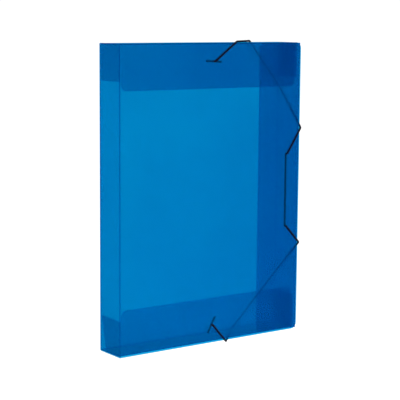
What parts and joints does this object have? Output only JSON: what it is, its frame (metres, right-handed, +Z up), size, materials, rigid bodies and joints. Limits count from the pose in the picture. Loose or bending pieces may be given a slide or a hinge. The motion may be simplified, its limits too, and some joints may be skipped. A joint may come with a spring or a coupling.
{
  "type": "document box file",
  "caption": "Translucent plastic document box file folded from a creased sheet, with flaps, ears and an elastic cord closure.",
  "frame": {"origin": "middle of the bottom of the whole object's box, cord included", "axes": "+Z up along the height, +X from the spine to the free edge of the cover, -Y out of the front cover"},
  "size_m": [0.2478, 0.045, 0.34],
  "materials": {
    "film": "translucent blue polypropylene sheet, fine satin grain",
    "crease": "pressed fold in the same sheet",
    "elastic": "black braided elastic",
    "end_bar": "black crimped bar"
  },
  "bodies": {
    "tray": {"back_panel": "film", "top_wall": "film", "bottom_wall": "film", "top_wall_crease": "crease", "bottom_wall_crease": "crease", "side_wall_crease": "crease", "spine_crease": "crease", "top_flap_crease": "crease", "bottom_flap_crease": "crease", "spine_top_ear": "film", "spine_bottom_ear": "film", "side_top_ear": "film", "side_bottom_ear": "film", "spine_top_ear_crease": "crease", "spine_bottom_ear_crease": "crease", "side_top_ear_crease": "crease", "side_bottom_ear_crease": "crease"},
    "spine": {"spine_panel": "film", "cover_crease": "crease"},
    "front_cover": {"front_cover": "film", "elastic_cord": "elastic", "top_anchor_bar": "end_bar", "bottom_anchor_bar": "end_bar"},
    "side_wall": {"side_wall": "film", "side_flap_crease": "crease"},
    "side_flap": {"side_flap": "film"},
    "top_flap": {"top_flap": "film"},
    "bottom_flap": {"bottom_flap": "film"}
  },
  "joints": [
    {"name": "cover_hinge", "type": "hinge", "parent": "spine", "child": "front_cover", "pos_m": [-0.12337, -0.01975, 0.16999], "axis": [0, 0, -1], "range_deg": [0, 90], "deforming": ["elastic_cord"]},
    {"name": "spine_hinge", "type": "hinge", "parent": "tray", "child": "spine", "pos_m": [-0.12337, 0.01975, 0.16999], "axis": [0, 0, -1], "range_deg": [0, 90]},
    {"name": "side_wall_hinge", "type": "hinge", "parent": "tray", "child": "side_wall", "pos_m": [0.12063, 0.01975, 0.16999], "axis": [0, 0, 1], "range_deg": [0, 90]},
    {"name": "side_flap_hinge", "type": "hinge", "parent": "side_wall", "child": "side_flap", "pos_m": [0.12063, -0.0187, 0.16999], "axis": [0, 0, 1], "range_deg": [0, 90]},
    {"name": "top_flap_hinge", "type": "hinge", "parent": "tray", "child": "top_flap", "pos_m": [-0.00162, -0.01495, 0.33674], "axis": [1, 0, 0], "range_deg": [0, 35]},
    {"name": "bottom_flap_hinge", "type": "hinge", "parent": "tray", "child": "bottom_flap", "pos_m": [-0.00162, -0.01495, 0.00324], "axis": [-1, 0, 0], "range_deg": [0, 35]}
  ],
  "couplings": [
    {"joint": "spine_hinge", "follows": "cover_hinge", "ratio": 1},
    {"joint": "side_wall_hinge", "follows": "cover_hinge", "ratio": 1},
    {"joint": "side_flap_hinge", "follows": "cover_hinge", "ratio": 1}
  ]
}
